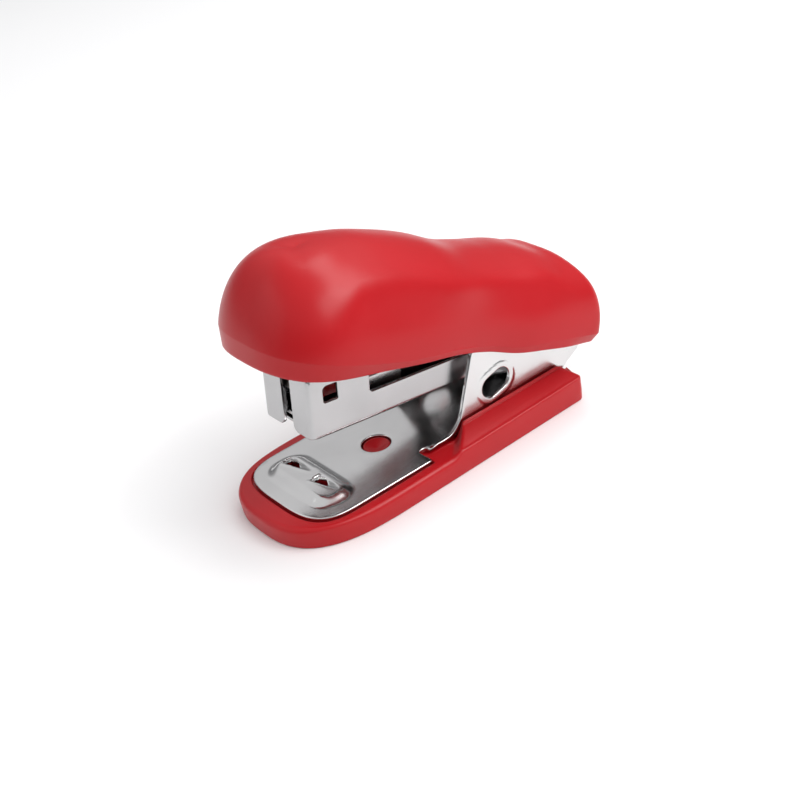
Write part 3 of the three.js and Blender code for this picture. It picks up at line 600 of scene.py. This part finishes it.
def rim_row(outer, inner):
    """One section of the base's wall, round from its lower edge over the top to the pocket."""
    p, q = np.array(outer), np.array(inner)
    width = np.linalg.norm(q - p)
    way = (q - p) / width
    rail = smooth(-5, 1, p[1])
    radius = 1.0 - 0.62 * rail
    radius = min(radius, 0.4 * width)

    def at(d, z=None):
        xy = p + way * d
        return xy[0], xy[1], rim_top(*xy) if z is None else z
    top = rim_top(*(p + way * radius))
    row = [at(1.6, 0.0), at(0.42, 0.0)]
    row += [at(0.42 - 0.3 * math.sin(a), 0.3 - 0.3 * math.cos(a)) for a in np.radians([22, 45, 68, 90])]
    row += [at(0.07, 1.0), at(0.02, 1.8), at(0.0, 2.4)]
    row += [at(radius * (1 - math.cos(a)), top - radius + radius * math.sin(a))
            for a in np.radians([0, 12, 25, 38, 52, 65, 78, 90])]
    last = width - min(0.25, 0.4 * width)
    if width > 2:
        row += [at(d) for d in np.linspace(radius, last - 0.95, 9)[1:]]
        row += [at(last - d) for d in (0.8, 0.68, 0.58, 0.5, 0.42, 0.34, 0.26, 0.16, 0.0)]
    else:
        row += [at(d) for d in np.linspace(radius, max(last, radius), 18)[1:]]
    end = rim_top(*(p + way * last))
    row += [at(width - (width - last) * (1 - math.sin(a)), end - (width - last) * (1 - math.cos(a)))
            for a in np.radians([22, 45, 68, 90])]
    return row + [at(width, 3.1), at(width, 2.6), at(1.9, 2.4), at(1.6, 2.2)]


def base_wall():
    """The wall and rails, closed at both rear ends."""
    rows = [rim_row(outer, inner) for outer, inner in rim_path()]
    columns = len(rows[0])
    vertices = [v for row in rows for v in row]
    faces = grid_faces(len(rows), columns, wrap_columns=True)
    faces.append(list(range(columns)))
    faces.append(list(range(len(vertices) - columns, len(vertices))))
    return vertices, faces


def flat_slab(outline, low, thick, edge, spacing):
    return plate_form(outline, [], thick, lambda u, v, w: (u, v, low + w), edge, spacing)


def base_form():
    """Wall, floor, three ribs, rear bar and the stud seen through the plate."""
    build = Build()
    build.add(*base_wall())
    floor = [tuple(np.array(outer) + (np.array(inner) - np.array(outer)) * 0.45)
             for outer, inner in rim_path()]
    floor = [point for point in floor if point[1] < BASE_REAR - 1.2]
    floor = [(9.9, BASE_REAR - 0.5), *floor, (-9.9, BASE_REAR - 0.5)]
    build.add(*flat_slab(floor, 1.7, 1.5, 0.2, 1.6))
    for y in (-18, 0, 16):
        rib = [(-12.6, y - 0.6), (12.6, y - 0.6), (12.6, y + 0.6), (-12.6, y + 0.6)]
        build.add(*flat_slab(rib, 0.3, 1.7, 0.15, 2.0))
    bar = [(-9.9, BASE_REAR - 1.6), (9.9, BASE_REAR - 1.6), (9.9, BASE_REAR), (-9.9, BASE_REAR)]
    build.add(*flat_slab(bar, 0.0, 3.22, 0.2, 2.0))
    stud = [(3.0, 0.0), (3.0, 2.4), (3.8, 2.4), (3.93, 2.3), (3.95, 2.15), (3.9, 2.05), (3.3, 0.5),
            (3.22, 0.2),
            (3.2, 0.0)]
    build.add(*revolved(stud, "z", (0, STUD_Y, 0)))
    return build.vertices, build.faces


make("base_shell", *base_form(), RED_BASE, "base", ["base_housing"], "base_plastic")

# ------------------------------------------------------------------ anvil plate
SHEET, PLATE_Z, EAR_X, BEND = 0.8, 3.5, 9.4, 1.2
BEND_START = EAR_X - BEND
BEND_END = BEND_START + BEND * math.pi / 2
SLOT_Y, SLOT_Z, SLOT_HALF, SLOT_R, SLOT_TURN = 11.7, 9.8, 1.2, 2.0, 0.26
PAD_X, PAD_FRONT, PAD_REAR, PAD_RISE, PAD_SLOPE = 9.5, -27.0, -18.4, 1.1, 2.3
GROOVE_X, GROOVE_Y, GROOVE_TURN, GROOVE_REACH = 4.2, -21.9, 0.13, 3.3
PLATE_HALF, PLATE_FRONT, PLATE_NOSE, PLATE_POWER = 11.95, -29.7, -20, 3.4


def on_ear(z):
    """Developed distance from the centre line to a height on the ear's outer face."""
    return BEND_END + z - (PLATE_Z + BEND)


def box_distance(x, y, half_x, half_y, corner):
    """Distance from a rounded rectangle about the origin, negative inside it."""
    dx, dy = abs(x) - half_x + corner, abs(y) - half_y + corner
    return math.hypot(max(dx, 0), max(dy, 0)) + min(max(dx, dy), 0) - corner


def slot_distance(y, z):
    """Distance from the edge of the ear's slotted hole, negative inside it."""
    c, s = math.cos(SLOT_TURN), math.sin(SLOT_TURN)
    a, b = (y - SLOT_Y) * c + (z - SLOT_Z) * s, -(y - SLOT_Y) * s + (z - SLOT_Z) * c
    a = max(0.0, abs(a) - SLOT_HALF)
    return math.hypot(a, b) - SLOT_R


def groove_frame(x, y, side):
    """Distances along and across a clinch groove."""
    c, t = math.cos(GROOVE_TURN), math.sin(GROOVE_TURN)
    a, b = x - side * GROOVE_X, y - GROOVE_Y
    return a * c + b * t, -a * t + b * c


def pad_height(x, y):
    """The raised clinching pad: sloped edges, and two grooves that fall towards their open ends."""
    d = box_distance(x, y - (PAD_FRONT + PAD_REAR) / 2, PAD_X, (PAD_REAR - PAD_FRONT) / 2, 3.9)
    height = PAD_RISE * float(smooth(0.1, -PAD_SLOPE, d))
    for side in (-1, 1):
        a, b = groove_frame(x, y, side)
        fall = float(smooth(GROOVE_REACH, -1.2, a) * smooth(-GROOVE_REACH, -GROOVE_REACH + 0.5, a))
        width = 1.25 - 0.12 * (a + GROOVE_REACH)
        height -= 0.85 * fall * float(smooth(width, width - 0.55, abs(b)))
        lip = bump(width + 0.1, 0.25, abs(b)) * smooth(GROOVE_REACH + 0.5, GROOVE_REACH - 0.4, abs(a))
        height += 0.07 * float(lip)
    return height


def groove_opening(side):
    """The opening at the deep end of a groove, in plan."""
    c, t = math.cos(GROOVE_TURN), math.sin(GROOVE_TURN)
    corners = [(-3.0, -0.72), (-1.0, -0.68), (-0.2, 0.0), (-0.9, 0.66), (-2.9, 0.76)]
    return [(side * GROOVE_X + a * c - b * t, GROOVE_Y + a * t + b * c) for a, b in corners]


def anvil_shape(u, v, w):
    """From the flat sheet to the pressed plate with its two bent ears."""
    side = -1 if u < 0 else 1
    s = abs(u)
    if v < -4.6 or s <= BEND_START:
        return u, v, PLATE_Z + w + (pad_height(u, v) if -28.5 < v < -16.5 else 0)
    if s < BEND_END:
        angle = (s - BEND_START) / BEND
        return (side * (BEND_START + (BEND - w) * math.sin(angle)), v,
                PLATE_Z + BEND - (BEND - w) * math.cos(angle))
    z = PLATE_Z + BEND + s - BEND_END
    ring = 0.24 * float(smooth(1.30, 0.90, slot_distance(v, z)))
    x = EAR_X - w + ring
    if v > 28.4:
        x -= 0.25 * (v - 28.4)
    return side * x, v, z


def ear_points(points):
    """Points of the ear's outline, given as height and distance along."""
    return [(on_ear(z), y) for z, y in points]


def anvil_outline():
    """The plate's developed outline, ears laid flat."""
    nose = []
    for a in np.linspace(0, math.pi / 2, 40):
        x = PLATE_HALF * math.cos(a) ** (2 / PLATE_POWER)
        nose.append((x, PLATE_NOSE - (PLATE_NOSE - PLATE_FRONT) * math.sin(a) ** (2 / PLATE_POWER)))
    front_edge = ear_points([(4.55, -2.6), (4.75, 0.6), (6.6, 3.0), (9.9, 4.5), (14.0, 6.2), (17.4, 7.6)])
    top_edge = ear_points([(18.5, 8.7), (18.4, 10.0), (17.2, 16), (15.9, 21.4), (15.6, 24.6), (14.9, 28.2),
                           (13.8, 31.2), (12.6, 32.2)])
    ear = [(BEND_START - 0.2, -4.1), (9.3, -4.0), *curve_through(front_edge, 8), *curve_through(top_edge, 6)]
    ear += ear_points([(10.6, 32.1), (9.6, 32.2), (8.9, 32.3), (6.9, 32.6), (6.4, 32.2), (5.7, 28.7),
                       (4.9, 27.4)])
    ear.append((BEND_START, 27.2))
    side = [(BEND_START - 0.2, -5.35), (BEND_START + 0.1, -5.7), (PLATE_HALF - 0.3, -5.7), (PLATE_HALF, -6.0)]
    right = ear[::-1] + side + nose
    left = [(-u, v) for u, v in reversed(right[:-1])]
    return right + left


def slot_outline(side):
    """The ear's slotted hole, in the developed sheet."""
    c, s = math.cos(SLOT_TURN), math.sin(SLOT_TURN)
    points = arc(SLOT_HALF, 0, SLOT_R, -90, 90, 14) + arc(-SLOT_HALF, 0, SLOT_R, 90, 270, 14)
    turned = [(SLOT_Y + a * c - b * s, SLOT_Z + a * s + b * c) for a, b in points]
    return [(side * on_ear(z), y) for y, z in turned]


def anvil_form():
    """The pressed plate with its holes, and finer points where it is pressed or bent."""
    holes = [groove_opening(1), groove_opening(-1), slot_outline(1), slot_outline(-1),
             circle(0, STUD_Y, 2.6, 48), circle(0, 24.0, 1.2, 24),
             circle(on_ear(PIVOT_Z), PIVOT_Y, 1.5, 24), circle(-on_ear(PIVOT_Z), PIVOT_Y, 1.5, 24)]
    low, high = on_ear(5.6), on_ear(14.2)
    fine = [((-10.0, 10.0), (-27.6, -17.9), 0.2, 0.2), ((low, high), (7.3, 16.2), 0.3, 0.3),
            ((-high, -low), (7.3, 16.2), 0.3, 0.3), ((BEND_START - 0.1, BEND_END + 0.1), (-5, 33), 0.24, 0.7),
            ((-BEND_END - 0.1, -BEND_START + 0.1), (-5, 33), 0.24, 0.7)]
    return plate_form(anvil_outline(), holes, SHEET, anvil_shape, 0.22, 0.8, fine, 5)


make("anvil_plate_pressed", *anvil_form(), CHROME, "base", ["anvil_plate"], "anvil_steel")

# ------------------------------------------------------------------ magazine
M_HALF, M_WALL, M_BOTTOM, M_FRONT, M_REAR = 6.8, 0.7, -3.7, -49.3, 3.2
M_LOW, M_TALL, M_STEP, M_BEND = 1.3, 7.1, -37.4, 1.0
FLOOR_END = M_HALF - M_BEND
WALL_START = FLOOR_END + M_BEND * math.pi / 2
CORNER = 0.65
FRONT_Y = M_FRONT + CORNER


def on_wall(z):
    """Developed distance from the centre line to a height on the wall's outer face."""
    return WALL_START + z - (M_BOTTOM + M_BEND)


def magazine_shape(u, v, w):
    """From the flat sheet to the folded channel with its two front flanges."""
    side = -1 if u < 0 else 1
    s = abs(u)
    hanging = v < FRONT_Y + 0.2 and s > FLOOR_END - 1
    if s <= FLOOR_END and not hanging:
        return u, v, M_BOTTOM + w
    if s < WALL_START and not hanging:
        angle = (s - FLOOR_END) / M_BEND
        return (side * (FLOOR_END + (M_BEND - w) * math.sin(angle)), v,
                M_BOTTOM + M_BEND - (M_BEND - w) * math.cos(angle))
    z = M_BOTTOM + M_BEND + s - WALL_START
    if v >= FRONT_Y:
        return side * (M_HALF - w), v, z
    turn = FRONT_Y - v
    if turn < CORNER * math.pi / 2:
        angle = turn / CORNER
        return (side * (M_HALF - CORNER + (CORNER - w) * math.cos(angle)),
                FRONT_Y - (CORNER - w) * math.sin(angle), z)
    return side * (M_HALF - CORNER - (turn - CORNER * math.pi / 2)), M_FRONT + w, z


def magazine_outline():
    """The channel's developed outline, walls and flanges laid flat."""
    flange_end = FRONT_Y - CORNER * math.pi / 2 - (M_HALF - CORNER - 1.4)
    bottom = on_wall(M_BOTTOM + M_BEND + 0.15)
    right = [(0, -47.4), (4.9, -47.4), (4.9, FRONT_Y + 0.25), (bottom - 0.9, FRONT_Y + 0.25),
             *arc(bottom - 0.9, FRONT_Y - 0.05, 0.3, 90, -10, 4)]
    low = on_wall(-3.4)
    right += [(low + 0.2, FRONT_Y - 0.5), (low, FRONT_Y - 1.4)]
    right += [(low, flange_end + 1.4), *arc(low + 1.2, flange_end + 1.2, 1.2, 180, 270, 6)]
    right += [(on_wall(M_TALL), flange_end)]
    right += [*arc(on_wall(M_TALL) - 0.8, M_STEP - 0.8, 0.8, 0, 90, 6)]
    right += [(on_wall(M_LOW + 0.5), M_STEP), *arc(on_wall(M_LOW) + 0.5, M_STEP + 0.5, 0.5, 270, 180, 4)]
    right += [(on_wall(M_LOW), -5), (on_wall(M_LOW + 1.2), -3.2), (on_wall(M_LOW + 1.2), M_REAR - 1.2)]
    right += [*arc(on_wall(M_LOW + 0.2), M_REAR - 1.0, 1.0, 0, 90, 5)]
    right += [*arc(on_wall(M_BOTTOM + 2.0), M_REAR - 2.0, 2.0, 90, 180, 8)]
    right += [(FLOOR_END - 0.5, M_REAR - 2.0 - 0.3), (0, M_REAR - 2.3)]
    left = [(-u, v) for u, v in reversed(right[1:-1])]
    return right + left


def window_outline(side):
    """The small square window near the front of a wall, one corner rounder than the others."""
    v, z, h = M_FRONT + 4.2, 3.9, 1.4
    points = []
    corners = [(z - h, v - h), (z + h, v - h), (z + h, v + h), (z - h, v + h)]
    for (cz, cv), start in zip(corners, (180, 270, 0, 90)):
        r = 0.7 if (cz > z and cv < v) else 0.3
        a, b = cz + (r if cz < z else -r), cv + (r if cv < v else -r)
        points += arc(a, b, r, start, start + 90, 4)
    return [(side * on_wall(a), b) for a, b in points]


def magazine_form():
    """The folded channel with its windows and pivot holes, and finer points at its bends."""
    holes = [window_outline(1), window_outline(-1),
             circle(on_wall(0), 0, 1.5, 24), circle(-on_wall(0), 0, 1.5, 24)]
    holes += [circle(0, y, 0.9, 16) for y in (M_FRONT + 5, -9.6)]
    fine = []
    for side in (-1, 1):
        a, b = sorted((side * (FLOOR_END - 0.1), side * (WALL_START + 0.1)))
        fine.append(((a, b), (-60, 10), 0.2, 0.8))
        a, b = sorted((side * WALL_START, side * 40))
        fine.append(((a, b), (FRONT_Y - CORNER * math.pi / 2 - 0.1, FRONT_Y + 0.1), 0.7, 0.18))
    return plate_form(magazine_outline(), holes, M_WALL, magazine_shape, 0.18, 0.9, fine, 4)


make("magazine_body", *magazine_form(), NICKEL, "magazine", ["magazine_channel"], "magazine_nickel",
     in_magazine)

# ------------------------------------------------------------------ pieces kept from the CAD model
KEPT = {
    "staple_rail": NICKEL, "staple_strip": STAPLES, "staple_pusher": STEEL, "pusher_rod": STEEL,
    "pusher_spring": SPRING, "rail_rivet_front": STEEL, "rail_rivet_rear": STEEL, "cover_spring": SPRING,
    "pivot_washer_left": NYLON, "pivot_washer_right": NYLON, "driver_frame": INNER, "driver_blade": BLADE,
    "blade_rivet_left": STEEL, "blade_rivet_right": STEEL, "lift_spring": SPRING, "lift_spring_rivet": STEEL,
    "hinge_pin": STEEL, "hinge_pin_collar": STEEL,
}
for node, material in KEPT.items():
    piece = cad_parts[node]
    piece.data.materials.clear()
    piece.data.materials.append(material)
    piece.data.polygons.foreach_set("use_smooth", [True] * len(piece.data.polygons))
    edges = piece.modifiers.new("eased_edges", "BEVEL")
    edges.width = 0.00008
    edges.segments = 2
    edges.angle_limit = math.radians(40)
    edges.harden_normals = True

# ------------------------------------------------------------------ stage, light, camera
FLOOR_HALF, FLOOR_Z = 3.0, -0.00002
LIGHT_TARGET = Vector((0, 0, 0.02))


def stage_floor():
    mesh = bpy.data.meshes.new("floor")
    corners = [(-1, -1), (1, -1), (1, 1), (-1, 1)]
    mesh.from_pydata([(x * FLOOR_HALF, y * FLOOR_HALF, FLOOR_Z) for x, y in corners], [], [(0, 1, 2, 3)])
    material, nodes, links = new_material("pale_floor")
    shader = nodes["Principled BSDF"]
    shader.inputs["Roughness"].default_value = 0.6
    soft = noise(nodes, links, 3)
    two_tone(nodes, links, soft, (0.90, 0.90, 0.90), (0.92, 0.92, 0.92), shader.inputs["Base Color"])
    mesh.materials.append(material)
    floor = bpy.data.objects.new("floor", mesh)
    bpy.context.scene.collection.objects.link(floor)


def area_light(name, position, size, power):
    light = bpy.data.lights.new(name, "AREA")
    light.shape = "RECTANGLE"
    light.size, light.size_y = size
    light.energy = power
    lamp = bpy.data.objects.new(name, light)
    lamp.location = position
    lamp.rotation_euler = (LIGHT_TARGET - Vector(position)).to_track_quat("-Z", "Y").to_euler()
    bpy.context.scene.collection.objects.link(lamp)


def studio_world():
    """A pale room that is darker near the horizon, so that bright metal has something to show."""
    world = bpy.data.worlds.new("studio")
    bpy.context.scene.world = world
    world.use_nodes = True
    nodes, links = world.node_tree.nodes, world.node_tree.links
    coords = nodes.new("ShaderNodeTexCoord")
    split = nodes.new("ShaderNodeSeparateXYZ")
    ramp = nodes.new("ShaderNodeValToRGB")
    ramp.color_ramp.elements[0].position = 0.02
    ramp.color_ramp.elements[0].color = (0.20, 0.20, 0.205, 1)
    ramp.color_ramp.elements[1].position = 0.56
    ramp.color_ramp.elements[1].color = (0.95, 0.95, 0.96, 1)
    middle = ramp.color_ramp.elements.new(0.34)
    middle.color = (0.42, 0.42, 0.43, 1)
    links.new(coords.outputs["Generated"], split.inputs["Vector"])
    links.new(split.outputs["Z"], ramp.inputs["Fac"])
    links.new(ramp.outputs["Color"], nodes["Background"].inputs["Color"])
    nodes["Background"].inputs["Strength"].default_value = 0.8


def photo_camera():
    """The camera as fitted to the outline of the stapler."""
    az, el, roll = math.radians(57.19), math.radians(31.03), math.radians(-11.14)
    distance, lens = 219.5, 59.976
    target = Vector((7.38, -6.84, 15.0))
    back = Vector((math.sin(az) * math.cos(el), -math.cos(az) * math.cos(el), math.sin(el)))
    right = Vector((math.cos(az), math.sin(az), 0))
    up = back.cross(right)
    turned_right = right * math.cos(roll) + up * math.sin(roll)
    turned_up = up * math.cos(roll) - right * math.sin(roll)
    data = bpy.data.cameras.new("camera")
    data.sensor_width = 36
    data.lens = lens
    data.clip_start = 0.005
    camera = bpy.data.objects.new("camera", data)
    rotation = Matrix((turned_right, turned_up, back)).transposed().to_4x4()
    camera.matrix_world = Matrix.Translation((target + back * distance) * MM) @ rotation
    bpy.context.scene.collection.objects.link(camera)
    bpy.context.scene.camera = camera


stage_floor()
studio_world()
area_light("key", (0.40, 0.12, 0.44), (0.40, 0.24), 1.2)
area_light("side", (0.28, 0.32, 0.50), (0.30, 0.22), 1.1)
area_light("front", (-0.34, -0.60, 0.34), (0.60, 0.44), 0.45)
area_light("top", (-0.05, 0.32, 0.61), (0.46, 0.30), 1.7)
photo_camera()
bpy.context.scene.view_settings.view_transform = "Standard"
